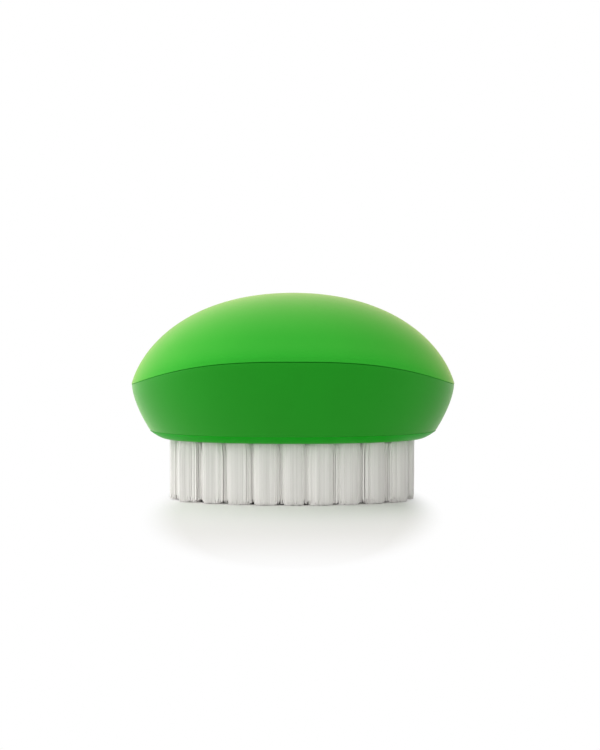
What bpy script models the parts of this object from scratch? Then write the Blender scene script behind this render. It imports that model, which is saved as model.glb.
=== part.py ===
"""Palm-held vegetable brush: a soft-touch dome and skirt on a rigid core, with a tufted bristle block.

Units are metres and +Z is up. The bristle tips stand on z = 0, the long side runs along X,
and the origin is under the middle of the brush.
"""

import math

import bmesh
import bpy
from mathutils import Matrix, Vector

MM = 0.001

# Outer body, seen from above
BODY_LENGTH = 100 * MM  # over the crease
BODY_WIDTH = 63 * MM
SKIRT_END_TAPER = 5.7 * MM  # how far the skirt draws in from the crease to the parting line
SKIRT_SIDE_TAPER = 4.5 * MM
OUTLINE_POWER = 2.15  # 2 is an ellipse, more is squarer

# Heights, from the surface that the tips stand on
BRISTLE_LENGTH = 19.0 * MM  # free length, from the tips to the block's underside
RIM_HEIGHT = 2.5 * MM
SKIRT_END_HEIGHT = 14.5 * MM  # parting line to crease, at the two ends
CREASE_ARCH = 8.4 * MM  # how much higher the crease is in the middle of a long side
CREASE_POWER = 2.75
CROWN_HEIGHT = 28.0 * MM  # crease ends to crown

# Side profile of the dome and the skirt, as shares of their length and height
CROWN_FULLNESS = 0.61
SHOULDER_REACH = 0.925
SHOULDER_RISE = 0.465
SKIRT_FULLNESS = 1.6
RIM_POWER = 1.5  # 1 gives the rim a straight slant, more a rounder edge

# Walls and joints
SHELL_WALL = 2.4 * MM
LIP_WALL = 0.9 * MM  # what the cover's lip leaves in front of it on the skirt
LIP_DEPTH = 2.3 * MM
CREASE_GAP = 0.3 * MM
EDGE_ROUND = 0.5 * MM
GAP = 0.3 * MM  # between pieces that touch

# Bristle block
HOLE_DEPTH = 5.5 * MM
HOLE_WEB = 2.5 * MM  # solid block above the holes
RIM_ROUND = 4.6 * MM  # how far the rim's lower edge curves in
LAND_MARGIN = 0.5 * MM  # the skirt's straight land runs on above the block
INNER_DROP = 0.3  # where the skirt's inner wall has come to run along its outside
BEAD_REACH = 0.7 * MM
BEAD_FLAT = 0.3 * MM  # the bead's straight outer face
BEAD_LEAD = 0.55 * MM  # height of each slanted side of the bead
PEG_DIAMETER = 3.2 * MM
PEG_HEIGHT = 6.0 * MM

# Core frame
FRAME_END_MARGIN = 13.0 * MM  # from the skirt's inner land to the frame's oval wall
FRAME_SIDE_MARGIN = 10.0 * MM
FRAME_WALL = 2.0 * MM
FRAME_WALL_HEIGHT = 12.0 * MM
SOCKET_WALL = 1.6 * MM
SOCKET_HEIGHT = 9.0 * MM

# Tufts: rings of blind holes, each with a bundle of strands fused to a slice of its root
TUFT_PITCH = 8.1 * MM
ROW_PITCH = 7.7 * MM  # along the middle row
FIELD_END_MARGIN = 9.5 * MM  # from the block's edge to the centres of the outer ring
FIELD_SIDE_MARGIN = 10.2 * MM
TUFT_DIAMETER = 5.3 * MM
TUFT_TIP_DIAMETER = 6.8 * MM
TUFT_SIDES = 8
ROOT_MARGIN = 0.1 * MM  # from the strands' roots to the slice's sides
STRAND_SIDES = 3
STRAND_DIAMETER = 0.9 * MM
STRAND_TIP_DIAMETER = 1.35 * MM
INNER_STRANDS = 3
OUTER_STRANDS = 9
INNER_SHARE = 0.46  # the inner strands' ring, as a share of the outer one's radius
TUFT_TURN = math.radians(47)  # from one tuft to the next, so that no two look the same
ROOT_OVERLAP = 0.5 * MM  # the strands reach this far up into the slice

# Fineness of the faceted shapes
SEGMENTS = 44
OUTER_STEPS = 9
INNER_STEPS = 6
RIM_STEPS = 4
ROUND_SIDES = 16
SHARP_ANGLE = math.radians(40)  # edges that turn more than this are shaded sharp

underside = BRISTLE_LENGTH
parting = underside + RIM_HEIGHT
crease_end = parting + SKIRT_END_HEIGHT
crown = crease_end + CROWN_HEIGHT
block_top = underside + HOLE_DEPTH + HOLE_WEB
half_length = BODY_LENGTH / 2
half_width = BODY_WIDTH / 2
rim_half_length = half_length - SKIRT_END_TAPER
rim_half_width = half_width - SKIRT_SIDE_TAPER


def clear_scene():
    for item in list(bpy.data.objects):
        bpy.data.objects.remove(item, do_unlink=True)


def plastic(name, colour, roughness):
    material = bpy.data.materials.new(name)
    material.use_nodes = True
    shader = material.node_tree.nodes["Principled BSDF"]
    shader.inputs["Base Color"].default_value = (*colour, 1)
    shader.inputs["Roughness"].default_value = roughness
    shader.inputs["Metallic"].default_value = 0
    material.diffuse_color = (*colour, 1)
    return material


def add_object(name, mesh, material):
    item = bpy.data.objects.new(name, mesh)
    if not mesh.materials:
        mesh.materials.append(material)
    bpy.context.scene.collection.objects.link(item)
    return item


def finished_mesh(name, bm, smooth=True):
    bmesh.ops.recalc_face_normals(bm, faces=bm.faces)
    mesh = bpy.data.meshes.new(name)
    bm.to_mesh(mesh)
    bm.free()
    if smooth:
        mesh.shade_smooth()
        mesh.set_sharp_from_angle(angle=SHARP_ANGLE)
    return mesh


def helper(name, mesh):
    """A cutter or a piece to be joined on. It is never rendered."""
    item = bpy.data.objects.new(name, mesh)
    item.hide_render = True
    item.display_type = "WIRE"
    bpy.context.scene.collection.objects.link(item)
    return item


def combine(item, other, operation):
    modifier = item.modifiers.new(other.name, "BOOLEAN")
    modifier.object = other
    modifier.operation = operation
    modifier.solver = "EXACT"
    modifier.use_self = True


# Outlines and heights


def outline_point(long_half, short_half, angle):
    """A point of the superellipse that every level of the body has as its outline."""
    c = math.cos(angle)
    s = math.sin(angle)
    x = math.copysign(abs(c) ** (2 / OUTLINE_POWER), c)
    y = math.copysign(abs(s) ** (2 / OUTLINE_POWER), s)
    return long_half * x, short_half * y, abs(x)


def crease_height(share):
    """The crease's height where it has gone this share of the way from the middle to an end."""
    return crease_end + CREASE_ARCH * (1 - share**CREASE_POWER)


def level(height):
    return lambda share: height


def crease_level(offset):
    return lambda share: crease_height(share) + offset


def ring(long_half, short_half, height_at):
    points = []
    for step in range(SEGMENTS):
        x, y, share = outline_point(long_half, short_half, 2 * math.pi * step / SEGMENTS)
        points.append(Vector((x, y, height_at(share))))
    return points


def dome_profile(t):
    """The cubic curve from the crown to the crease: (share of the half-length, share of the rise)."""
    corners = ((0, 1), (CROWN_FULLNESS, 1), (SHOULDER_REACH, SHOULDER_RISE), (1, 0))
    weights = ((1 - t) ** 3, 3 * (1 - t) ** 2 * t, 3 * (1 - t) * t**2, t**3)
    reach = sum(weight * corner[0] for weight, corner in zip(weights, corners))
    rise = sum(weight * corner[1] for weight, corner in zip(weights, corners))
    return reach, rise


def dome_rings(inset, steps):
    """Rings of the dome drawn in by inset, from the crown down to its edge."""
    top = crown - inset
    rings = [[Vector((0, 0, top))]]
    for step in range(1, steps + 1):
        reach, rise = dome_profile(step / steps)

        def height_at(share, rise=rise):
            return crease_height(share) + (top - crease_height(share)) * rise

        rings.append(ring((half_length - inset) * reach, (half_width - inset) * reach, height_at))
    return rings


def skirt_ring(inset, drop):
    """A ring of the skirt, drop being 0 at the crease and 1 at the parting line."""
    draw_in = drop**SKIRT_FULLNESS
    long_half = half_length - (half_length - rim_half_length) * draw_in - inset
    short_half = half_width - (half_width - rim_half_width) * draw_in - inset
    return ring(long_half, short_half, lambda share: crease_height(share) * (1 - drop) + parting * drop)


def skin(bm, rings, around=False):
    """Joins rings of the same number of points by faces. A one-point ring is a pole.

    With around set, the last ring is joined to the first. Otherwise open ends are capped.
    """
    rows = [[bm.verts.new(point) for point in points] for points in rings]
    pairs = list(zip(rows, rows[1:]))
    if around:
        pairs.append((rows[-1], rows[0]))
    for upper, lower in pairs:
        for step in range(SEGMENTS):
            corners = [
                upper[step % len(upper)],
                upper[(step + 1) % len(upper)],
                lower[(step + 1) % len(lower)],
                lower[step % len(lower)],
            ]
            bm.faces.new(list(dict.fromkeys(corners)))
    if not around:
        for row in (rows[0], rows[-1]):
            if len(row) > 1:
                bm.faces.new(row)


def skinned(name, rings, around=False, smooth=True):
    bm = bmesh.new()
    skin(bm, rings, around)
    return finished_mesh(name, bm, smooth)


def cylinder(bm, x, y, low, high, radius, sides):
    place = Matrix.Translation((x, y, (low + high) / 2))
    bmesh.ops.create_cone(
        bm,
        cap_ends=True,
        segments=sides,
        radius1=radius,
        radius2=radius,
        depth=high - low,
        matrix=place,
    )


def cylinders(name, centres, low, high, radius, sides):
    bm = bmesh.new()
    for x, y in centres:
        cylinder(bm, x, y, low, high, radius, sides)
    return finished_mesh(name, bm, smooth=False)


def slab(name, length, width, low, high):
    bm = bmesh.new()
    place = Matrix.Translation((0, 0, (low + high) / 2)) @ Matrix.Diagonal((length, width, high - low, 1))
    bmesh.ops.create_cube(bm, size=1, matrix=place)
    return finished_mesh(name, bm, smooth=False)


# Shells


def make_grip_cover(material):
    lip_inset = LIP_WALL + GAP
    edge = crease_level(CREASE_GAP / 2)
    lip_end = crease_level(CREASE_GAP / 2 - LIP_DEPTH)
    rings = dome_rings(0, OUTER_STEPS)[:-1]
    rings.append(ring(half_length, half_width, crease_level(CREASE_GAP / 2 + EDGE_ROUND)))
    rings.append(ring(half_length - EDGE_ROUND, half_width - EDGE_ROUND, edge))
    rings.append(ring(half_length - lip_inset, half_width - lip_inset, edge))
    rings.append(ring(half_length - lip_inset, half_width - lip_inset, lip_end))
    rings.append(ring(half_length - SHELL_WALL, half_width - SHELL_WALL, lip_end))
    rings.extend(reversed(dome_rings(SHELL_WALL, INNER_STEPS)))
    return add_object("grip_cover", skinned("grip_cover", rings), material)


def land_size(inset):
    """Half-sizes of the straight land inside the skirt's foot, drawn in by inset."""
    return rim_half_length - SHELL_WALL - inset, rim_half_width - SHELL_WALL - inset


def bead_rings(inset, clearance):
    """Four rings of the block's snap bead, or with a clearance, of the groove that takes it."""
    middle = (parting + block_top) / 2
    flat = BEAD_FLAT / 2 + clearance
    base = land_size(inset)
    proud = land_size(inset - BEAD_REACH)
    return [
        ring(*base, level(middle - flat - BEAD_LEAD)),
        ring(*proud, level(middle - flat)),
        ring(*proud, level(middle + flat)),
        ring(*base, level(middle + flat + BEAD_LEAD)),
    ]


def make_body_skirt(material):
    lip_end = crease_level(CREASE_GAP / 2 - LIP_DEPTH - GAP)
    edge = crease_level(-CREASE_GAP / 2)
    foot = parting + GAP / 2
    land_top = block_top + LAND_MARGIN
    rings = [ring(half_length - EDGE_ROUND, half_width - EDGE_ROUND, edge)]
    rings.append(ring(half_length, half_width, crease_level(-CREASE_GAP / 2 - EDGE_ROUND)))
    rings.extend(skirt_ring(0, drop) for drop in (0.25, 0.5, 0.7, 0.87))
    rings.append(ring(rim_half_length, rim_half_width, level(foot)))
    rings.append(ring(*land_size(0), level(foot)))
    rings.extend(bead_rings(0, GAP))
    rings.append(ring(*land_size(0), level(land_top)))
    rings.append(skirt_ring(SHELL_WALL, INNER_DROP))
    rings.append(ring(half_length - SHELL_WALL, half_width - SHELL_WALL, lip_end))
    rings.append(ring(half_length - LIP_WALL, half_width - LIP_WALL, lip_end))
    rings.append(ring(half_length - LIP_WALL, half_width - LIP_WALL, edge))
    return add_object("body_skirt", skinned("body_skirt", rings, around=True), material)


# Bristle block and core frame


def frame_size(inset):
    """Half-sizes of the frame's oval wall, drawn in by inset from its outside."""
    long_half, short_half = land_size(inset)
    return long_half - FRAME_END_MARGIN, short_half - FRAME_SIDE_MARGIN


def peg_centres():
    reach_x, reach_y = frame_size(FRAME_WALL / 2)
    return [(reach_x, 0), (-reach_x, 0), (0, reach_y), (0, -reach_y)]


def make_bristle_block(material, centres):
    rim_top = RIM_HEIGHT - GAP / 2
    rings = []
    for step in range(RIM_STEPS + 1):
        share = 1 - step / RIM_STEPS
        inset = RIM_ROUND * share
        rise = rim_top * (1 - share) ** RIM_POWER
        rings.append(ring(rim_half_length - inset, rim_half_width - inset, level(underside + rise)))
    rings.append(ring(*land_size(GAP), level(underside + rim_top)))
    rings.extend(bead_rings(GAP, 0))
    rings.append(ring(*land_size(GAP), level(block_top)))
    block = add_object("bristle_block", skinned("bristle_block", rings), material)
    hole_radius = TUFT_DIAMETER / 2 + GAP
    hole_top = underside + HOLE_DEPTH
    holes = cylinders("tuft_holes", centres, underside - HOLE_DEPTH, hole_top, hole_radius, TUFT_SIDES)
    combine(block, helper("tuft_holes", holes), "DIFFERENCE")
    peg_low = block_top - HOLE_WEB / 2
    pegs = cylinders("pegs", peg_centres(), peg_low, block_top + PEG_HEIGHT, PEG_DIAMETER / 2, ROUND_SIDES)
    combine(block, helper("pegs", pegs), "UNION")
    return block


def core_space():
    """The room inside both shells and above the block, with a gap all round."""
    inset = SHELL_WALL + GAP
    floor = block_top + GAP
    rings = dome_rings(inset, INNER_STEPS)
    below_lip = crease_level(CREASE_GAP / 2 - LIP_DEPTH - GAP)
    rings.append(ring(half_length - inset, half_width - inset, below_lip))
    rings.append(skirt_ring(inset, INNER_DROP))
    rings.append(ring(*land_size(GAP), level(block_top + LAND_MARGIN)))
    rings.append(ring(*land_size(GAP), level(floor)))
    return helper("core_space", skinned("core_space", rings, smooth=False))


def make_core_frame(material):
    low = block_top - GAP
    wall_top = block_top + GAP + FRAME_WALL_HEIGHT
    outer = frame_size(0)
    inner = frame_size(FRAME_WALL)
    rings = [
        ring(*outer, level(low)),
        ring(*outer, level(wall_top)),
        ring(*inner, level(wall_top)),
        ring(*inner, level(low)),
    ]
    frame = add_object("core_frame", skinned("core_frame", rings, around=True), material)
    long_rib = slab("long_rib", BODY_LENGTH, FRAME_WALL, low, crown)
    cross_rib = slab("cross_rib", FRAME_WALL, BODY_WIDTH, low, crown)
    socket_radius = PEG_DIAMETER / 2 + GAP + SOCKET_WALL
    socket_top = block_top + SOCKET_HEIGHT
    sockets = cylinders("sockets", peg_centres(), low, socket_top, socket_radius, ROUND_SIDES)
    bore_top = block_top + PEG_HEIGHT + GAP
    bore_radius = PEG_DIAMETER / 2 + GAP
    bores = cylinders("socket_bores", peg_centres(), low - GAP, bore_top, bore_radius, ROUND_SIDES)
    combine(frame, helper("long_rib", long_rib), "UNION")
    combine(frame, helper("cross_rib", cross_rib), "UNION")
    combine(frame, helper("sockets", sockets), "UNION")
    combine(frame, core_space(), "INTERSECT")
    combine(frame, helper("socket_bores", bores), "DIFFERENCE")
    return frame


# Tufts


def ellipse_places(long_half, short_half, pitch):
    """Places spread evenly round an ellipse, about one pitch apart, starting at an end."""
    samples = 720
    points = []
    for step in range(samples + 1):
        angle = 2 * math.pi * step / samples
        points.append((long_half * math.cos(angle), short_half * math.sin(angle)))
    lengths = [0]
    for here, after in zip(points, points[1:]):
        lengths.append(lengths[-1] + math.dist(here, after))
    count = 2 * round(lengths[-1] / pitch / 2)
    places = []
    for number in range(count):
        target = lengths[-1] * number / count
        step = next(k for k in range(samples) if lengths[k + 1] > target)
        share = (target - lengths[step]) / (lengths[step + 1] - lengths[step])
        x = points[step][0] + (points[step + 1][0] - points[step][0]) * share
        y = points[step][1] + (points[step + 1][1] - points[step][1]) * share
        places.append((x, y))
    return places


def tuft_centres():
    long_half = rim_half_length - FIELD_END_MARGIN
    short_half = rim_half_width - FIELD_SIDE_MARGIN
    centres = ellipse_places(long_half, short_half, TUFT_PITCH)
    centres += ellipse_places(long_half - TUFT_PITCH, short_half - TUFT_PITCH, TUFT_PITCH)
    side_count = math.floor((long_half - 2 * TUFT_PITCH) / ROW_PITCH)
    centres += [(number * ROW_PITCH, 0) for number in range(-side_count, side_count + 1)]
    return centres


def strand_places(radius, strand_radius):
    """(x, y) of each strand in a round bundle of this radius: an inner and an outer ring."""
    outer = radius - strand_radius
    inner = outer * INNER_SHARE
    places = []
    for count, reach, turn in ((INNER_STRANDS, inner, 0.0), (OUTER_STRANDS, outer, 0.5)):
        for number in range(count):
            angle = math.pi / 2 + 2 * math.pi * (number + turn) / count
            places.append((reach * math.cos(angle), reach * math.sin(angle)))
    return places


def tuft_mesh():
    """The root slice in its hole and the strands that spread from it down to the floor."""
    slice_low = underside + GAP
    slice_high = underside + HOLE_DEPTH - GAP
    root_level = slice_low + ROOT_OVERLAP
    bm = bmesh.new()
    cylinder(bm, 0, 0, slice_low, slice_high, TUFT_DIAMETER / 2, TUFT_SIDES)
    root_slice = helper("tuft_root", finished_mesh("tuft_root", bm, smooth=False))
    root_radius = TUFT_DIAMETER / 2 * math.cos(math.pi / TUFT_SIDES) - ROOT_MARGIN
    roots = strand_places(root_radius, STRAND_DIAMETER / 2)
    tips = strand_places(TUFT_TIP_DIAMETER / 2, STRAND_TIP_DIAMETER / 2)
    bm = bmesh.new()
    for root, tip in zip(roots, tips):
        made = bmesh.ops.create_cone(
            bm,
            cap_ends=True,
            segments=STRAND_SIDES,
            radius1=STRAND_TIP_DIAMETER / 2,
            radius2=STRAND_DIAMETER / 2,
            depth=root_level,
            matrix=Matrix.Translation((0, 0, root_level / 2)),
        )
        for vert in made["verts"]:
            centre = tip if vert.co.z < root_level / 2 else root
            vert.co.x += centre[0]
            vert.co.y += centre[1]
    strands = helper("tuft_strands", finished_mesh("tuft_strands", bm, smooth=False))
    combine(root_slice, strands, "UNION")
    bpy.context.view_layer.update()
    graph = bpy.context.evaluated_depsgraph_get()
    mesh = bpy.data.meshes.new_from_object(root_slice.evaluated_get(graph))
    mesh.name = "tuft"
    for item in (root_slice, strands):
        bpy.data.objects.remove(item, do_unlink=True)
    return mesh


def make_tufts(material, centres):
    mesh = tuft_mesh()
    for number, (x, y) in enumerate(centres, 1):
        tuft = add_object(f"tuft_{number:02d}", mesh, material)
        tuft.location = (x, y, 0)
        tuft.rotation_euler = (0, 0, TUFT_TURN * (number - 1))


def main():
    clear_scene()
    soft_green = plastic("soft_green", (0.07, 0.42, 0.045), 0.55)
    rim_green = plastic("rim_green", (0.035, 0.33, 0.04), 0.45)
    core_grey = plastic("core_grey", (0.55, 0.56, 0.56), 0.5)
    bristle_white = plastic("bristle_white", (0.8, 0.8, 0.76), 0.4)
    centres = tuft_centres()
    make_grip_cover(soft_green)
    make_body_skirt(soft_green)
    make_bristle_block(rim_green, centres)
    make_core_frame(core_grey)
    make_tufts(bristle_white, centres)


main()
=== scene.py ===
import math
import random

import bmesh
import bpy
from mathutils import Matrix, Vector


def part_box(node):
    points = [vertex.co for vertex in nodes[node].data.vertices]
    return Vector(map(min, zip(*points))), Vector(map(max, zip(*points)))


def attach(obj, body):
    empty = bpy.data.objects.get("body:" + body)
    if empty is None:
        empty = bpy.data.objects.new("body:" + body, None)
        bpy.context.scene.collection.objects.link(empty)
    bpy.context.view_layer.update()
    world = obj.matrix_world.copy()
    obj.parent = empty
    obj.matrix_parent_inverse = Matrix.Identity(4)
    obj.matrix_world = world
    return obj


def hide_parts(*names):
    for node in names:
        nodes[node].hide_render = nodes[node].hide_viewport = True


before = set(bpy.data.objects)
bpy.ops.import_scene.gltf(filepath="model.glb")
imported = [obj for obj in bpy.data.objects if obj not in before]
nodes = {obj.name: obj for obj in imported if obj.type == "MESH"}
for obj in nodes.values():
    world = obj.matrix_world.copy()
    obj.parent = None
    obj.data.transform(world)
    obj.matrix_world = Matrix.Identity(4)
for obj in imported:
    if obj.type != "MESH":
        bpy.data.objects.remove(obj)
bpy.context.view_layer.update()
mm = 0.001
fullTurn = 2 * math.pi
goldenAngle = math.pi * (3 - math.sqrt(5))
print("frame loaded:", len(nodes), "CAD nodes")

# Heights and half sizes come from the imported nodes, the shape between them from these values
body = {
    "segments": 176,
    "outlinePower": 2.15,  # 2 is an ellipse, more is squarer
    "crownPower": 2.0,  # the outline eases to an ellipse at the crown
    "creasePower": 2.75,  # how late the crease drops towards the ends
    "creaseGap": 0.3 * mm,  # between the two shells
    "wall": 2.4 * mm,
    "fitGap": 0.3 * mm,  # between pieces that touch
    "seamDrop": 0.20 * mm,  # the line that shows outside sits a little under the crease gap's middle
    "seamHalf": 0.075 * mm,  # half its width
    "seamEase": 0.95,  # the share of its width that it loses towards the ends
    "footGap": 0.05 * mm,  # the line between the skirt and the rim
    "lipDepth": 2.3 * mm,  # the cover's lip goes down this far behind the skirt's edge
    "lipWall": 0.9 * mm,
    "plugHeight": 8.0 * mm,  # the bristle block goes up into the skirt this far
    "fineRound": (0, 30, 60, 90),  # where a rounded edge has its rings, in degrees
    "coarseRound": (0, 45, 90),
    "seamWearAndShade": 1.0,  # marks the faces inside a seam, which get the darker painted-shade material; it is also their wear
    "mergeDistance": 1e-7,
    "sharpAngle": 40,
}
coverLow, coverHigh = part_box("grip_cover")
skirtLow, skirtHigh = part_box("body_skirt")
blockLow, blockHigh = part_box("bristle_block")
halfLength, halfWidth, crown = coverHigh
creaseMiddle = skirtHigh.z + body["creaseGap"] / 2
creaseEnd = coverLow.z + body["lipDepth"] - body["creaseGap"] / 2
parting = skirtLow.z - body["fitGap"] / 2
underside = blockLow.z
plugTop = underside + body["plugHeight"]
rimLength, rimWidth = blockHigh.x, blockHigh.y


# The camera stands where the photograph was taken from

cameraSetup = {
    "distance": 0.75,
    "height": 0.084,
    "aimHeight": 0.0385,
    "sideways": 0.00217,
    "sensor": 36,
    "lens": 145.35,
    "nearest": 0.01,
}


def placeCamera():
    data = bpy.data.cameras.new("photoCamera")
    item = bpy.data.objects.new("photoCamera", data)
    bpy.context.scene.collection.objects.link(item)
    item.location = (cameraSetup["sideways"], -cameraSetup["distance"], cameraSetup["height"])
    aim = Vector((cameraSetup["sideways"], 0, cameraSetup["aimHeight"]))
    item.rotation_euler = (aim - item.location).to_track_quat("-Z", "Y").to_euler()
    data.sensor_fit = "HORIZONTAL"
    data.sensor_width = cameraSetup["sensor"]
    data.lens = cameraSetup["lens"]
    data.clip_start = cameraSetup["nearest"]
    bpy.context.scene.camera = item


placeCamera()
print("camera placed")


# Shared tools for meshes


def outlinePoint(angle, power):
    c, s = math.cos(angle), math.sin(angle)
    x = math.copysign(abs(c) ** (2 / power), c)
    y = math.copysign(abs(s) ** (2 / power), s)
    return x, y


def creaseHeight(share):
    return creaseEnd + (creaseMiddle - creaseEnd) * (1 - share ** body["creasePower"])


def station(longHalf, shortHalf, heightAt, power=body["outlinePower"], wear=0.0):
    # One level of a shell: its two half sizes, its height at each share of the way from the
    # middle to an end, how square its outline is, and how far hands have polished it
    return {"long": longHalf, "short": shortHalf, "heightAt": heightAt, "power": power, "wear": wear}


def flatStation(longHalf, shortHalf, height, wear=0.0):
    return station(longHalf, shortHalf, lambda share: height, wear=wear)


def creaseStation(inset, offset, wear=0.0, ease=0.0):
    def heightAt(share):
        return creaseHeight(share) + offset - ease * share**2

    return station(halfLength - inset, halfWidth - inset, heightAt, wear=wear)


def edgeRound(radius, turns):
    # How far the points of the quarter circle that rounds an edge lie inside its two faces
    angles = [math.radians(turn) for turn in turns]
    return [(radius * (1 - math.cos(angle)), radius * (1 - math.sin(angle))) for angle in angles]


def spinLine(bm, points, centre, steps):
    line = [bm.verts.new(point) for point in points]
    edges = [bm.edges.new(pair) for pair in zip(line, line[1:])]
    bmesh.ops.spin(
        bm,
        geom=line + edges,
        cent=centre,
        axis=(0, 0, 1),
        dvec=(0, 0, 0),
        angle=fullTurn,
        steps=steps,
        use_merge=True,
        use_normal_flip=False,
        use_duplicate=False,
    )


def spinStations(stations, around=False):
    # A straight line is spun into a tube with a ring for each station, and each ring takes its
    # oval. The tube's ends are filled, or joined to each other where the shell has a hole.
    bm = bmesh.new()
    spinLine(bm, [(1, 0, number) for number in range(len(stations))], (0, 0, 0), body["segments"])
    ends = [edge for edge in bm.edges if edge.is_boundary]
    if around:
        bmesh.ops.bridge_loops(bm, edges=ends)
    wear = bm.verts.layers.float.new("wear")
    for vert in bm.verts:
        level = stations[round(vert.co.z)]
        x, y = outlinePoint(math.atan2(vert.co.y, vert.co.x), level["power"])
        vert.co = (level["long"] * x, level["short"] * y, level["heightAt"](abs(x)))
        vert[wear] = level["wear"]
    bmesh.ops.remove_doubles(bm, verts=bm.verts, dist=body["mergeDistance"])
    if not around:
        bmesh.ops.holes_fill(bm, edges=[edge for edge in bm.edges if edge.is_boundary], sides=0)
    bmesh.ops.recalc_face_normals(bm, faces=bm.faces)
    return bm


def smoothShading(mesh):
    mesh.shade_smooth()
    mesh.set_sharp_from_angle(angle=math.radians(body["sharpAngle"]))


def finishedPiece(name, bm, material, smooth=True, seamShadeMaterial=None):
    if seamShadeMaterial:
        # Faces inside a seam take the second material, which paints the shade of the crease gap
        wear = bm.verts.layers.float["wear"]
        for face in bm.faces:
            face.material_index = int(all(vert[wear] == body["seamWearAndShade"] for vert in face.verts))
    mesh = bpy.data.meshes.new(name)
    bm.to_mesh(mesh)
    bm.free()
    mesh.materials.append(material)
    if seamShadeMaterial:
        mesh.materials.append(seamShadeMaterial)
    if smooth:
        smoothShading(mesh)
    piece = bpy.data.objects.new(name, mesh)
    bpy.context.scene.collection.objects.link(piece)
    return piece


def standFor(piece, slotName, *nodeNames):
    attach(piece, "root")
    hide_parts(*nodeNames)


# Shared tools for finishes


def newMaterial(name, roughness, specular=0.5):
    material = bpy.data.materials.new(name)
    material.use_nodes = True
    tree = material.node_tree
    shader = tree.nodes["Principled BSDF"]
    shader.inputs["Roughness"].default_value = roughness
    shader.inputs["Specular IOR Level"].default_value = specular
    return material, tree, shader


def addNoise(tree, scale, detail=2.0, stretch=(1, 1, 1)):
    place = tree.nodes.new("ShaderNodeTexCoord")
    mapping = tree.nodes.new("ShaderNodeMapping")
    mapping.inputs["Scale"].default_value = stretch
    noise = tree.nodes.new("ShaderNodeTexNoise")
    noise.inputs["Scale"].default_value = scale
    noise.inputs["Detail"].default_value = detail
    tree.links.new(place.outputs["Object"], mapping.inputs["Vector"])
    tree.links.new(mapping.outputs["Vector"], noise.inputs["Vector"])
    return noise.outputs["Fac"]


def addRamp(tree, source, low, high, lowAt=0.35, highAt=0.65):
    # Low and high are colours, or plain numbers that become greys
    ramp = tree.nodes.new("ShaderNodeValToRGB")
    for stop, value, where in zip(ramp.color_ramp.elements, (low, high), (lowAt, highAt)):
        stop.color = (value, value, value, 1) if isinstance(value, float) else (*value, 1)
        stop.position = where
    tree.links.new(source, ramp.inputs["Fac"])
    return ramp.outputs["Color"]


def addMix(tree, factor, first, second, blend="MIX"):
    mix = tree.nodes.new("ShaderNodeMix")
    mix.data_type = "RGBA"
    mix.blend_type = blend
    for socket, value in zip((mix.inputs[0], mix.inputs[6], mix.inputs[7]), (factor, first, second)):
        if isinstance(value, bpy.types.NodeSocket):
            tree.links.new(value, socket)
        else:
            socket.default_value = value if isinstance(value, float) else (*value, 1)
    return mix.outputs[2]


def addAttribute(tree, name):
    attribute = tree.nodes.new("ShaderNodeAttribute")
    attribute.attribute_name = name
    return attribute.outputs["Fac"]


def addBump(tree, shader, height, distance, strength=1.0):
    bump = tree.nodes.new("ShaderNodeBump")
    bump.inputs["Strength"].default_value = strength
    bump.inputs["Distance"].default_value = distance
    tree.links.new(height, bump.inputs["Height"])
    tree.links.new(bump.outputs["Normal"], shader.inputs["Normal"])


# Moulded green plastics

# Each has a deep and a light tone that drift into each other, a fine grain from the mould, and
# edges that handling has polished a little. These values are the same on every moulded piece.
mould = {
    "driftDetail": 3.0,
    "patchFineness": 2.3,  # patches of roughness are this much smaller than the drift of tone
    "patchDetail": 4.0,
    "grainDetail": 3.0,
}


def mouldedPlastic(name, finish):
    material, tree, shader = newMaterial(name, finish["roughness"], finish["specular"])
    shader.inputs["Sheen Weight"].default_value = finish["sheen"]
    shader.inputs["Sheen Roughness"].default_value = finish["sheenRoughness"]
    shader.inputs["Sheen Tint"].default_value = (*finish["sheenTint"], 1)
    drift = addNoise(tree, finish["driftScale"], mould["driftDetail"])
    tone = addRamp(tree, drift, finish["deep"], finish["light"])
    worn = addMix(tree, addAttribute(tree, "wear"), tone, finish["worn"])
    tree.links.new(worn, shader.inputs["Base Color"])
    patches = addNoise(tree, finish["driftScale"] * mould["patchFineness"], mould["patchDetail"])
    rough = addRamp(tree, patches, *finish["roughRange"])
    polished = addMix(tree, addAttribute(tree, "wear"), rough, (finish["polish"],) * 3)
    tree.links.new(polished, shader.inputs["Roughness"])
    grain = addNoise(tree, finish["grainScale"], mould["grainDetail"])
    addBump(tree, shader, grain, finish["grainDepth"])
    return material


# Grip cover: the soft dome that fills the palm

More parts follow.
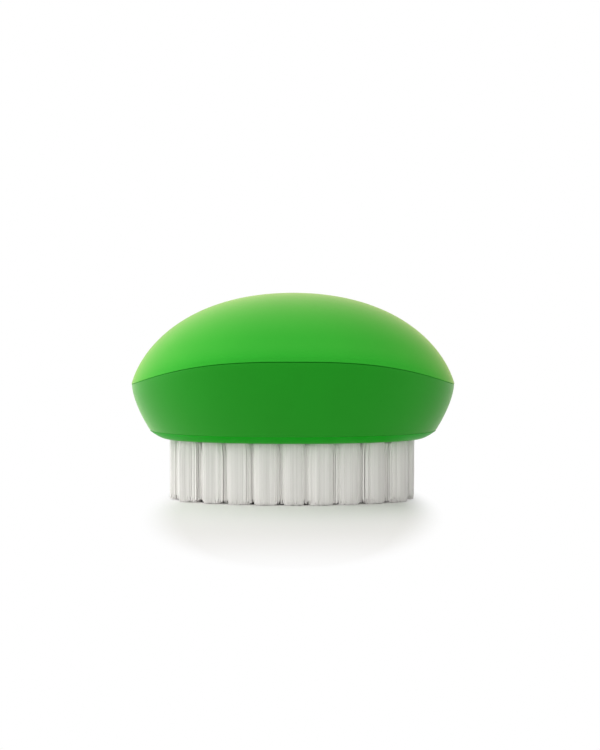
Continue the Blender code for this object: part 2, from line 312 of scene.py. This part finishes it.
cover = {
    "domeSteps": 46,
    "stepCrowding": 1.6,  # the steps are closer together near the lip
    "innerSteps": 12,
    "crownFullness": 0.61,  # this and the next two lines set the curve of the dome's profile
    "shoulderReach": 0.925,
    "shoulderRise": 0.465,
    "swellSide": 0.42 * mm,  # the long sides stand straight above the lip, then swell into the dome
    "swellHeight": 2.0 * mm,
    "swellEnd": 6.5 * mm,
    "lipRound": 0.07 * mm,
    "lipClearance": 1.3,  # times the round, which the dome's lowest ring keeps from the edge
    "lipWear": 0.6,
    "wearDrop": 1.2 * mm,  # over this height the wear drops by 1
    "finish": {
        "deep": (0.015, 0.382, 0.020),
        "light": (0.021, 0.408, 0.023),
        "worn": (0.015, 0.382, 0.020),
        "driftScale": 28.0,
        "roughness": 0.48,
        "roughRange": (0.44, 0.52),
        "polish": 0.38,
        "specular": 0.02,
        "sheen": 0.66,
        "sheenRoughness": 0.5,
        "sheenTint": (1.0, 0.95, 0.50),
        "grainScale": 2600.0,
        "grainDepth": 0.02 * mm,
    },
    "seamShadeFinish": {  # the two edges that face each other in the crease, painted darker than the cover as the shade inside the crease gap
        "deep": (0.0, 0.19, 0.001),
        "light": (0.0, 0.22, 0.001),
        "worn": (0.0, 0.21, 0.001),
        "driftScale": 28.0,
        "roughness": 0.6,
        "roughRange": (0.56, 0.64),
        "polish": 0.6,
        "specular": 0.1,
        "sheen": 0.0,
        "sheenRoughness": 0.5,
        "sheenTint": (1.0, 1.0, 1.0),
        "grainScale": 2600.0,
        "grainDepth": 0.01 * mm,
    },
}


def domeProfile(t):
    shoulder = (cover["shoulderReach"], cover["shoulderRise"])
    corners = ((0, 1), (cover["crownFullness"], 1), shoulder, (1, 0))
    weights = ((1 - t) ** 3, 3 * (1 - t) ** 2 * t, 3 * (1 - t) * t**2, t**3)
    reach = sum(weight * corner[0] for weight, corner in zip(weights, corners))
    rise = sum(weight * corner[1] for weight, corner in zip(weights, corners))
    return reach, rise


def swellShare(height):
    # 0 at the lip, 1 where the swell is fullest, and back to 0 above it
    if height < cover["swellHeight"]:
        return math.sin(math.pi / 2 * max(height, 0) / cover["swellHeight"])
    u = (height - cover["swellHeight"]) / (cover["swellEnd"] - cover["swellHeight"])
    return 0.5 + 0.5 * math.cos(math.pi * min(u, 1))


def domeStation(reach, rise, inset=0.0):
    top = crown - inset

    def heightAt(share):
        return creaseHeight(share) + (top - creaseHeight(share)) * rise

    height = rise * (top - creaseMiddle)
    swell = swellShare(height) if inset == 0 else 0
    power = body["crownPower"] + (body["outlinePower"] - body["crownPower"]) * min(reach, 1) ** 2
    return station(
        (halfLength - inset) * reach,
        min((halfWidth - inset) * reach + cover["swellSide"] * swell, halfWidth),
        heightAt,
        power,
        wear=max(0, cover["lipWear"] - height / cover["wearDrop"]) if inset == 0 else 0,
    )


def seamEdge(side):
    # How far the cover's edge, side 1, or the skirt's, side -1, lies above the middle of the
    # crease, and how far it comes back at the ends, where the seam nearly closes
    return side * body["seamHalf"] - body["seamDrop"], side * body["seamHalf"] * body["seamEase"]


def makeGripCover(material, seamShadeMaterial):
    gap, ease = seamEdge(1)
    stations = [flatStation(0, 0, crown)]
    for step in range(1, cover["domeSteps"]):
        reach, rise = domeProfile(1 - (1 - step / cover["domeSteps"]) ** cover["stepCrowding"])
        if rise * (crown - creaseMiddle) > gap + cover["lipRound"] * cover["lipClearance"]:
            stations.append(domeStation(reach, rise))
    for inset, rise in edgeRound(cover["lipRound"], body["fineRound"]):
        stations.append(creaseStation(inset, gap + rise, body["seamWearAndShade"], ease))
    lipInset = body["lipWall"] + body["fitGap"]
    lipEnd = gap - body["lipDepth"]
    stations.append(creaseStation(lipInset, gap, body["seamWearAndShade"]))
    stations.append(creaseStation(lipInset, lipEnd))
    stations.append(creaseStation(body["wall"], lipEnd))
    for step in range(cover["innerSteps"], 0, -1):
        stations.append(domeStation(*domeProfile(step / cover["innerSteps"]), body["wall"]))
    stations.append(flatStation(0, 0, crown - body["wall"]))
    piece = finishedPiece("gripCover", spinStations(stations), material, seamShadeMaterial=seamShadeMaterial)
    standFor(piece, "soft_green", "grip_cover")


# The crease faces get a darker green that paints the shade inside the gap
seamShadeGreen = mouldedPlastic("seamShadeGreen", cover["seamShadeFinish"])
makeGripCover(mouldedPlastic("softTouchGreen", cover["finish"]), seamShadeGreen)
print("grip cover made")


# Body skirt: the flared wall under the crease

skirt = {
    "wallSteps": 30,
    "fullness": 1.6,  # 1 draws in evenly, more draws in most near the rim
    "topInset": 0.06 * mm,  # the cover's lip stands out this far over the skirt
    "insetFade": 4,  # the power with which that step fades down the wall
    "topRound": 0.06 * mm,
    "topWear": 0.5,
    "wearFade": 6,  # the wear drops by this over the height of the wall
    "footRound": 0.08 * mm,
    "footWear": 0.5,
    "innerDrop": 0.3,  # the inner wall follows the outer one down to this share of its height
    "landMargin": 0.5 * mm,
    # The skirt's greens are the cover's green painted darker, as shade on a wall that faces down
    "finish": {
        "deep": (0.0, 0.238, 0.001),
        "light": (0.0, 0.258, 0.002),
        "worn": (0.002, 0.262, 0.004),
        "driftScale": 24.0,
        "roughness": 0.5,
        "roughRange": (0.46, 0.54),
        "polish": 0.42,
        "specular": 0.08,
        "sheen": 0.75,
        "sheenRoughness": 0.5,
        "sheenTint": (0.75, 1.0, 0.60),
        "grainScale": 2600.0,
        "grainDepth": 0.02 * mm,
    },
}
bead = {
    "reach": 0.7 * mm,
    "flat": 0.3 * mm,
    "lead": 0.55 * mm,
    "middle": (parting + plugTop) / 2,
}


def skirtStation(inset, drop, wear=0.0):
    drawIn = drop ** skirt["fullness"]

    def heightAt(share):
        return creaseHeight(share) * (1 - drop) + parting * drop

    return station(
        halfLength - (halfLength - rimLength) * drawIn - inset,
        halfWidth - (halfWidth - rimWidth) * drawIn - inset,
        heightAt,
        wear=wear,
    )


def rimSize(inset):
    return rimLength - inset, rimWidth - inset


def landSize(inset):
    return rimLength - body["wall"] - inset, rimWidth - body["wall"] - inset


def beadStations(inset, clearance):
    flat = bead["flat"] / 2 + clearance
    return [
        flatStation(*landSize(inset), bead["middle"] - flat - bead["lead"]),
        flatStation(*landSize(inset - bead["reach"]), bead["middle"] - flat),
        flatStation(*landSize(inset - bead["reach"]), bead["middle"] + flat),
        flatStation(*landSize(inset), bead["middle"] + flat + bead["lead"]),
    ]


def makeBodySkirt(material, seamShadeMaterial):
    gap, ease = seamEdge(-1)
    stations = []
    for drop, inset in edgeRound(skirt["topRound"], body["coarseRound"]):
        stations.append(creaseStation(skirt["topInset"] + inset, gap - drop, body["seamWearAndShade"], ease))
    for step in range(1, skirt["wallSteps"]):
        drop = step / skirt["wallSteps"]
        inset = skirt["topInset"] * (1 - drop) ** skirt["insetFade"]
        wear = max(0, skirt["topWear"] - drop * skirt["wearFade"])
        stations.append(skirtStation(inset, drop, wear))
    foot = parting + body["footGap"] / 2
    for inset, rise in edgeRound(skirt["footRound"], body["fineRound"]):
        stations.append(flatStation(*rimSize(inset), foot + rise, skirt["footWear"]))
    stations.append(flatStation(*landSize(0), foot))
    stations.extend(beadStations(0, body["fitGap"]))
    stations.append(flatStation(*landSize(0), plugTop + skirt["landMargin"]))
    stations.append(skirtStation(body["wall"], skirt["innerDrop"]))
    lipEnd = -body["lipDepth"] - body["fitGap"]
    stations.append(creaseStation(body["wall"], lipEnd))
    stations.append(creaseStation(body["lipWall"], lipEnd))
    stations.append(creaseStation(body["lipWall"], gap, body["seamWearAndShade"], ease))
    bm = spinStations(stations, around=True)
    piece = finishedPiece("bodySkirt", bm, material, seamShadeMaterial=seamShadeMaterial)
    standFor(piece, "soft_green", "body_skirt")


makeBodySkirt(mouldedPlastic("skirtShadedGreen", skirt["finish"]), seamShadeGreen)
print("body skirt made")


# Bristle block: the rim under the parting line, with a hole for each tuft

tuftNames = sorted(name for name in nodes if name.startswith("tuft_"))

block = {
    "rimSteps": 14,
    "rimRound": 4.6 * mm,
    "rimPower": 1.5,
    "topRound": 0.07 * mm,
    "topWear": 1.0,
    "holeDepth": 5.5 * mm,
    "holeRadius": 3.45 * mm,
    "mouthRadius": 3.55 * mm,
    "mouthDepth": 0.2 * mm,
    "holeSides": 28,
    "cutMargin": 1.0 * mm,  # a hole's cutter starts this far below the block
    "rootBand": 0.05 * mm,  # corners this near a tuft's top belong to its root slice
    "pegRadius": 1.6 * mm,
    "pegRoot": 1.25 * mm,  # a peg starts this deep in the plug
    "pegHeight": 6.0 * mm,
    "pegSides": 24,
    "frameEndMargin": 13.0 * mm,
    "frameSideMargin": 10.0 * mm,
    "frameWall": 2.0 * mm,
    "finish": {
        "deep": (0.0, 0.335, 0.004),
        "light": (0.001, 0.355, 0.006),
        "worn": (0.008, 0.390, 0.012),
        "driftScale": 30.0,
        "roughness": 0.40,
        "roughRange": (0.36, 0.44),
        "polish": 0.32,
        "specular": 0.05,
        "sheen": 0.1,
        "sheenRoughness": 0.3,
        "sheenTint": (0.95, 1.0, 0.55),
        "grainScale": 1900.0,
        "grainDepth": 0.012 * mm,
    },
}


def tuftCentre(name):
    # The slice at the tuft's root is an even octagon, so its box is centred on the tuft
    corners = [vert.co for vert in nodes[name].data.vertices]
    low = max(co.z for co in corners) - block["rootBand"]
    xs = [co.x for co in corners if co.z > low]
    ys = [co.y for co in corners if co.z > low]
    return (min(xs) + max(xs)) / 2, (min(ys) + max(ys)) / 2


def holeCutters():
    bm = bmesh.new()
    low, high = underside - block["cutMargin"], underside + block["holeDepth"]
    profile = (
        (0, high),
        (block["holeRadius"], high),
        (block["holeRadius"], underside + block["mouthDepth"]),
        (block["mouthRadius"], underside),
        (block["mouthRadius"], low),
        (0, low),
    )
    for name in tuftNames:
        x, y = tuftCentre(name)
        points = [(x + reach, y, height) for reach, height in profile]
        spinLine(bm, points, (x, y, 0), block["holeSides"])
    bmesh.ops.remove_doubles(bm, verts=bm.verts, dist=body["mergeDistance"])
    bmesh.ops.recalc_face_normals(bm, faces=bm.faces)
    return bm


def pegPlaces():
    longHalf, shortHalf = landSize(block["frameWall"] / 2)
    longHalf -= block["frameEndMargin"]
    shortHalf -= block["frameSideMargin"]
    return [(longHalf, 0), (-longHalf, 0), (0, shortHalf), (0, -shortHalf)]


def pegs():
    bm = bmesh.new()
    low, high = plugTop - block["pegRoot"], plugTop + block["pegHeight"]
    for x, y in pegPlaces():
        bmesh.ops.create_cone(
            bm,
            cap_ends=True,
            segments=block["pegSides"],
            radius1=block["pegRadius"],
            radius2=block["pegRadius"],
            depth=high - low,
            matrix=Matrix.Translation((x, y, (low + high) / 2)),
        )
    return bm


def combine(piece, bm, operation):
    # Joins or cuts with a helper mesh, then drops the helper
    mesh = bpy.data.meshes.new("helper")
    bm.to_mesh(mesh)
    bm.free()
    helper = bpy.data.objects.new("helper", mesh)
    bpy.context.scene.collection.objects.link(helper)
    modifier = piece.modifiers.new("combine", "BOOLEAN")
    modifier.object = helper
    modifier.operation = operation
    modifier.solver = "EXACT"
    bpy.context.view_layer.update()
    graph = bpy.context.evaluated_depsgraph_get()
    done = bpy.data.meshes.new_from_object(piece.evaluated_get(graph))
    piece.modifiers.clear()
    piece.data = done
    bpy.data.objects.remove(helper)


def makeBristleBlock(material):
    top = parting - body["footGap"] / 2
    stations = []
    for step in range(block["rimSteps"] + 1):
        share = 1 - step / block["rimSteps"]
        rise = (top - underside - block["topRound"]) * (1 - share) ** block["rimPower"]
        stations.append(flatStation(*rimSize(block["rimRound"] * share), underside + rise))
    # The last of these steps ends where the round begins
    for inset, drop in edgeRound(block["topRound"], body["coarseRound"])[1:]:
        stations.append(flatStation(*rimSize(inset), top - drop, block["topWear"]))
    stations.append(flatStation(*landSize(body["fitGap"]), top))
    stations.extend(beadStations(body["fitGap"], 0))
    stations.append(flatStation(*landSize(body["fitGap"]), plugTop))
    piece = finishedPiece("bristleBlock", spinStations(stations), material)
    combine(piece, holeCutters(), "DIFFERENCE")
    combine(piece, pegs(), "UNION")
    smoothShading(piece.data)
    standFor(piece, "rim_green", "bristle_block")


makeBristleBlock(mouldedPlastic("rimGreen", block["finish"]))
print("bristle block made")


# Core frame: the CAD node stays and gets a plain moulded grey

core = {
    "deep": (0.40, 0.41, 0.41),
    "light": (0.46, 0.47, 0.47),
    "toneScale": 60.0,
    "roughness": 0.5,
    "roughRange": (0.42, 0.58),
    "roughScale": 150.0,
    "grainScale": 1500.0,
    "grainDepth": 0.02 * mm,
}


def finishCoreFrame():
    material, tree, shader = newMaterial("coreGrey", core["roughness"])
    tone = addRamp(tree, addNoise(tree, core["toneScale"]), core["deep"], core["light"])
    tree.links.new(tone, shader.inputs["Base Color"])
    rough = addRamp(tree, addNoise(tree, core["roughScale"]), *core["roughRange"])
    tree.links.new(rough, shader.inputs["Roughness"])
    grain = addNoise(tree, core["grainScale"], mould["grainDetail"])
    addBump(tree, shader, grain, core["grainDepth"])
    item = nodes["core_frame"]
    item.data.materials.clear()
    item.data.materials.append(material)


finishCoreFrame()
print("core frame finished")


# Bristles: each tuft is a bundle of fine nylon strands that spreads from its hole to the tips

bristles = {
    "ringDrops": (0, 0.30 * mm, 0.62 * mm),  # how far each close ring lies inside the tuft's edge
    "ringPacking": 1.2,  # more than 1 lets the strands of a ring overlap
    "fillStrands": 120,  # they fill the middle more loosely
    "strandDiameter": 0.34 * mm,
    "strandSides": 5,
    "tipWidth": 0.72,  # the cut end's share of the strand's width
    "ringHeights": (0.006, 0.35, 0.6, 0.765, 0.81),  # above the tip, and where the strand bends
    "rootRadius": 3.1 * mm,
    "tipRadius": 3.3 * mm,
    "tipVariation": 0.42 * mm,  # some tufts spread more than others
    "spread": 18.0,  # more than 1 spreads most just below the hole
    "squareness": 2.7,  # a tuft's outline, where 2 is round
    "lean": 0.27 * mm,
    # Soft locks round a tuft's edge: how many there are, and how far they stand out
    "waves": ((2, 0.10 * mm), (3, 0.07 * mm), (5, 0.05 * mm), (9, 0.02 * mm)),
    "phaseReach": 6.3,  # they start anywhere on the full turn
    "wander": 0.02 * mm,  # how far a single tip strays from its place in the bundle
    "strays": 210,  # loose strands that stand out round the tuft and fill the space to the next
    "strayPhase": 0.3,  # keeps them from starting in line with the rings
    "strayReach": 1.85 * mm,
    "strayShares": (0.1, 1),  # they use between these shares of that reach
    "straySpread": 40.0,  # they leave the bundle right below the hole
    "strayCut": (0.25 * mm, 1.9 * mm),  # they end above the others
    "trim": 2.2,  # how much less they stand out towards the edge of the whole field
    "leastRoom": 0.08,  # the share of their reach that they always keep
    "toneWaves": ((13, 0.05), (31, 0.04)),  # neighbours share a tone, which makes fine streaks
    "toneChance": 0.03,
    "strandToneAndLight": 0.25,
    "strayLitTone": 0.33,  # loose strands are painted paler than packed ones, as light that lifts the shade in the gaps between tufts
    "innerLitTone": 0.66,  # and strands that look into the field are painted this much paler, as light that lifts the shade deep inside it
    "innerFade": 1.25,  # how fast that painted light fades for those that look out of it
    "bow": 0.03 * mm,
    "unevenCut": 0.4 * mm,
    "rootDepth": 4.6 * mm,
    "seed": 1769,
    "finish": {
        "deep": (0.56, 0.546, 0.527),
        "light": (0.97, 0.95, 0.93),
        "roughness": 0.45,
        "specular": 0.35,
        "streakScale": 900.0,
        "streakDetail": 2.0,
        "streakStretch": (1, 1, 0.05),  # along the strands
        "streakRange": (0.98, 1.0),
    },
}


def nylonMaterial():
    finish = bristles["finish"]
    material, tree, shader = newMaterial("nylonBristle", finish["roughness"], finish["specular"])
    # The strands' tone attribute holds their random tone and the painted light between the tufts
    tone = addAttribute(tree, "strandToneAndLight")
    colour = addRamp(tree, tone, finish["deep"], finish["light"], lowAt=0.0, highAt=1.0)
    noise = addNoise(tree, finish["streakScale"], finish["streakDetail"], finish["streakStretch"])
    streaks = addRamp(tree, noise, *finish["streakRange"])
    tree.links.new(addMix(tree, 1.0, colour, streaks, "MULTIPLY"), shader.inputs["Base Color"])
    return material


def strandTemplate():
    # A rod one unit long and wide, with its cut tip at the bottom
    bm = bmesh.new()
    bmesh.ops.create_cone(
        bm,
        cap_ends=True,
        segments=bristles["strandSides"],
        radius1=bristles["tipWidth"] / 2,
        radius2=0.5,
        depth=1,
        matrix=Matrix.Translation((0, 0, 0.5)),
    )
    for height in bristles["ringHeights"]:
        everything = bm.verts[:] + bm.edges[:] + bm.faces[:]
        bmesh.ops.bisect_plane(bm, geom=everything, plane_co=(0, 0, height), plane_no=(0, 0, 1))
    # Only the cut end itself stays narrow
    for vert in bm.verts:
        if vert.co.z > bristles["ringHeights"][0] / 2:
            reach = math.hypot(vert.co.x, vert.co.y)
            vert.co.x *= 0.5 / reach
            vert.co.y *= 0.5 / reach
    mesh = bpy.data.meshes.new("strandTemplate")
    bm.to_mesh(mesh)
    bm.free()
    return mesh


def strandPlaces(tipRadius):
    # (share of the radius, angle, whether it strays) of every strand in a tuft
    thick = bristles["strandDiameter"]
    places = []
    for drop in bristles["ringDrops"]:
        radius = tipRadius - drop
        count = round(fullTurn * radius * bristles["ringPacking"] / thick)
        places += [(radius / tipRadius, fullTurn * number / count, False) for number in range(count)]
    for number in range(bristles["strays"]):
        place = fullTurn * (number + bristles["strayPhase"]) / bristles["strays"]
        places.append((1, place, True))
    inner = 1 - (bristles["ringDrops"][-1] + thick) / tipRadius
    for number in range(bristles["fillStrands"]):
        share = math.sqrt((number + 0.5) / bristles["fillStrands"])
        places.append((inner * share, number * goldenAngle, False))
    return places


def scatter(chance, size):
    return Vector((chance.gauss(0, 1), chance.gauss(0, 1), 0)) * size


def drawTuft(name, number):
    # What all strands of a tuft share
    chance = random.Random(bristles["seed"] + number)
    x, y = tuftCentre(name)
    tipRadius = bristles["tipRadius"] + chance.uniform(-1, 1) * bristles["tipVariation"]
    lean = scatter(chance, bristles["lean"])
    turn = chance.uniform(0, fullTurn)
    waves = []
    for count, size in bristles["waves"]:
        phases = [chance.uniform(0, bristles["phaseReach"]) for _ in range(2)]
        waves.append((count, size, *phases))
    return {
        "chance": chance,
        "x": x,
        "y": y,
        "tipRadius": tipRadius,
        "lean": lean,
        "turn": turn,
        "waves": waves,
        "outward": Vector((x / rimLength**2, y / rimWidth**2, 0)).normalized(),
        "edgeShare": math.hypot(x / rimLength, y / rimWidth),  # 0 in the field's middle, 1 at the rim
    }


def trimmedReach(tuft, direction):
    # The edge of the whole field stays trim
    outside = direction.x * tuft["x"] / rimLength**2 + direction.y * tuft["y"] / rimWidth**2
    room = max(bristles["leastRoom"], 1 - bristles["trim"] * (max(0, outside) * rimWidth))
    return direction * tuft["chance"].uniform(*bristles["strayShares"]) * bristles["strayReach"] * room


def drawToneAndLight(tuft, angle, direction, isStray):
    # Random tone, plus painted light: loose strands and strands that look into the field are paler, to
    # lift the shade between the tufts
    tone = bristles["strayLitTone" if isStray else "strandToneAndLight"]
    tone += tuft["chance"].gauss(0, 1) * bristles["toneChance"]
    turn = tuft["turn"]
    tone += sum(size * math.sin(count * angle + turn * count) for count, size in bristles["toneWaves"])
    outLook = max(0, direction.dot(tuft["outward"]))
    fade = bristles["innerFade"] * tuft["edgeShare"] * outLook
    return tone + bristles["innerLitTone"] * max(0, 1 - fade)


def drawStrand(tuft, share, place, isStray):
    # The course of one strand between its hole and its cut tip, and its tone, which includes painted
    # light
    chance = tuft["chance"]
    angle = tuft["turn"] + place
    direction = Vector((math.cos(angle), math.sin(angle), 0))
    power = bristles["squareness"]
    corner = (abs(direction.x) ** power + abs(direction.y) ** power) ** (-1 / power)
    locks = sum(size * math.sin(count * angle + phase) for count, size, phase, _ in tuft["waves"])
    swell = sum(size * math.sin(count * angle + phase) for count, size, _, phase in tuft["waves"])
    stray = scatter(chance, bristles["wander"])
    if isStray:
        stray += trimmedReach(tuft, direction)
    tip = direction * (tuft["tipRadius"] * share * corner + locks) + tuft["lean"] + stray
    bow = direction * swell + scatter(chance, bristles["bow"])
    if isStray:
        cut = chance.uniform(*bristles["strayCut"])
    else:
        cut = chance.uniform(0, 1) ** 2 * bristles["unevenCut"]
    return {
        "root": direction * bristles["rootRadius"] * share,
        "tip": tip,
        "bow": bow,
        "cut": cut,
        "spread": bristles["straySpread" if isStray else "spread"],
        "tone": drawToneAndLight(tuft, angle, direction, isStray),
    }


def addStrand(bm, template, tuft, strand):
    rootHeight = underside + bristles["rootDepth"]
    thick = bristles["strandDiameter"]
    before = len(bm.verts)
    bm.from_mesh(template)
    bm.verts.ensure_lookup_table()
    tone = bm.verts.layers.float["strandToneAndLight"]
    for vert in bm.verts[before:]:
        height = strand["cut"] + (rootHeight - strand["cut"]) * vert.co.z
        along = min(height / underside, 1)  # 0 at the tip, 1 at the hole's mouth
        centre = strand["tip"].lerp(strand["root"], along ** strand["spread"])
        centre += strand["bow"] * math.sin(math.pi * along)
        x = tuft["x"] + centre.x + vert.co.x * thick
        y = tuft["y"] + centre.y + vert.co.y * thick
        vert.co = (x, y, height)
        vert[tone] = strand["tone"]


def makeTuft(name, number, template, material):
    tuft = drawTuft(name, number)
    bm = bmesh.new()
    bm.verts.layers.float.new("strandToneAndLight")
    for share, place, isStray in strandPlaces(tuft["tipRadius"]):
        addStrand(bm, template, tuft, drawStrand(tuft, share, place, isStray))
    bmesh.ops.recalc_face_normals(bm, faces=bm.faces)
    piece = finishedPiece("bristles" + name[-2:], bm, material)
    standFor(piece, "bristle_white", name)


def makeBristles(material):
    template = strandTemplate()
    for number, name in enumerate(tuftNames):
        makeTuft(name, number, template, material)
    bpy.data.meshes.remove(template)


makeBristles(nylonMaterial())
print("bristle tufts made:", len(tuftNames))


# Studio: a white floor in a light tent, a large soft lamp on the left and a small one on the right

studio = {
    "floorSize": 4.0,
    "floorColour": (0.766, 0.752, 0.734),
    "floorRoughness": 0.9,
    "shadowPlace": -0.035,  # the patch that shows the shadow lies more in front of the object
    "shadowOval": (0.0425, 0.118),  # its half sizes
    "ovalFade": (0.76, 1.06),  # where round its edge the floor fades to white
    "endFade": (0.075, 0.175),  # it also fades in front and behind, between these distances
    "tentMiddle": 1.01,
    "tentSlope": (-0.06, 0.18, 0.60),  # how the tent brightens to the right, the back and the top
    "dimSide": (0.84, 0.40, 0.36),  # a grey screen stands on this side
    "dimming": -1.7,
    "dimFocus": 2.0,  # more makes the screen smaller
    "lampAim": (0, 0, 0.035),
    "lamps": (
        {"name": "leftLamp", "place": (-0.80, -0.12, 0.09), "size": 0.6, "power": 3.8},
        {"name": "rightLamp", "place": (0.70, -0.30, 0.03), "size": 0.4, "power": 0.95},
    ),
}


def addMath(tree, operation, first, second):
    node = tree.nodes.new("ShaderNodeMath")
    node.operation = operation
    for socket, value in zip(node.inputs, (first, second)):
        if isinstance(value, bpy.types.NodeSocket):
            tree.links.new(value, socket)
        else:
            socket.default_value = value
    return node.outputs[0]


def addDot(tree, source, direction):
    node = tree.nodes.new("ShaderNodeVectorMath")
    node.operation = "DOT_PRODUCT"
    node.inputs[1].default_value = direction
    tree.links.new(source, node.inputs[0])
    return node.outputs["Value"]


def addFade(tree, source, reach):
    fade = tree.nodes.new("ShaderNodeMapRange")
    fade.interpolation_type = "SMOOTHSTEP"
    fade.inputs["From Min"].default_value, fade.inputs["From Max"].default_value = reach
    tree.links.new(addMath(tree, "ABSOLUTE", source, 0.0), fade.inputs["Value"])
    return fade.outputs["Result"]


def addLooks(tree):
    # 1 for what the camera sees, straight or in a reflection, and 0 for what lights the object
    rays = tree.nodes.new("ShaderNodeLightPath")
    looks = addMath(tree, "MAXIMUM", rays.outputs["Is Camera Ray"], rays.outputs["Is Glossy Ray"])
    return addMath(tree, "MAXIMUM", looks, rays.outputs["Is Transmission Ray"])


def makeFloor():
    bm = bmesh.new()
    bmesh.ops.create_grid(bm, x_segments=1, y_segments=1, size=studio["floorSize"])
    material, tree, shader = newMaterial("studioFloor", studio["floorRoughness"], specular=0.0)
    shader.inputs["Base Color"].default_value = (*studio["floorColour"], 1)
    # Far from the object the floor looks plain white, but lights nothing
    place = tree.nodes.new("ShaderNodeTexCoord").outputs["Object"]
    oval = tree.nodes.new("ShaderNodeMapping")
    oval.vector_type = "TEXTURE"
    oval.inputs["Location"].default_value = (0, studio["shadowPlace"], 0)
    oval.inputs["Scale"].default_value = (*studio["shadowOval"], 1)
    reach = tree.nodes.new("ShaderNodeVectorMath")
    reach.operation = "LENGTH"
    tree.links.new(place, oval.inputs[0])
    tree.links.new(oval.outputs[0], reach.inputs[0])
    sides = addFade(tree, reach.outputs["Value"], studio["ovalFade"])
    ends = addFade(tree, addDot(tree, place, (0, 1, 0)), studio["endFade"])
    seen = addMath(tree, "MULTIPLY", addLooks(tree), addMath(tree, "MAXIMUM", sides, ends))
    white = tree.nodes.new("ShaderNodeEmission")
    blend = tree.nodes.new("ShaderNodeMixShader")
    tree.links.new(seen, blend.inputs[0])
    tree.links.new(shader.outputs[0], blend.inputs[1])
    tree.links.new(white.outputs[0], blend.inputs[2])
    tree.links.new(blend.outputs[0], tree.nodes["Material Output"].inputs["Surface"])
    floor = finishedPiece("studioFloor", bm, material, smooth=False)


def makeWorld():
    world = bpy.data.worlds.new("studioWorld")
    bpy.context.scene.world = world
    world.use_nodes = True
    tree = world.node_tree
    place = tree.nodes.new("ShaderNodeTexCoord")
    direction = place.outputs["Generated"]
    level = addMath(tree, "ADD", addDot(tree, direction, studio["tentSlope"]), studio["tentMiddle"])
    screen = addMath(tree, "MAXIMUM", addDot(tree, direction, studio["dimSide"]), 0.0)
    screen = addMath(tree, "POWER", screen, studio["dimFocus"])
    dimmed = addMath(tree, "MULTIPLY", screen, studio["dimming"])
    level = addMath(tree, "MAXIMUM", addMath(tree, "ADD", level, dimmed), 0.0)
    # Looked at, the tent is plain white
    looks = addLooks(tree)
    lights = addMath(tree, "MULTIPLY", level, addMath(tree, "SUBTRACT", 1.0, looks))
    tree.links.new(addMath(tree, "ADD", lights, looks), tree.nodes["Background"].inputs["Strength"])
    tree.nodes["Background"].inputs["Color"].default_value = (1, 1, 1, 1)


def makeLamps():
    for settings in studio["lamps"]:
        data = bpy.data.lights.new(settings["name"], "AREA")
        data.shape = "DISK"
        data.size = settings["size"]
        data.energy = settings["power"]
        item = bpy.data.objects.new(settings["name"], data)
        bpy.context.scene.collection.objects.link(item)
        item.location = settings["place"]
        aim = Vector(studio["lampAim"]) - item.location
        item.rotation_euler = aim.to_track_quat("-Z", "Y").to_euler()


makeFloor()
makeWorld()
makeLamps()
bpy.context.scene.view_settings.view_transform = "Standard"
print("studio ready")
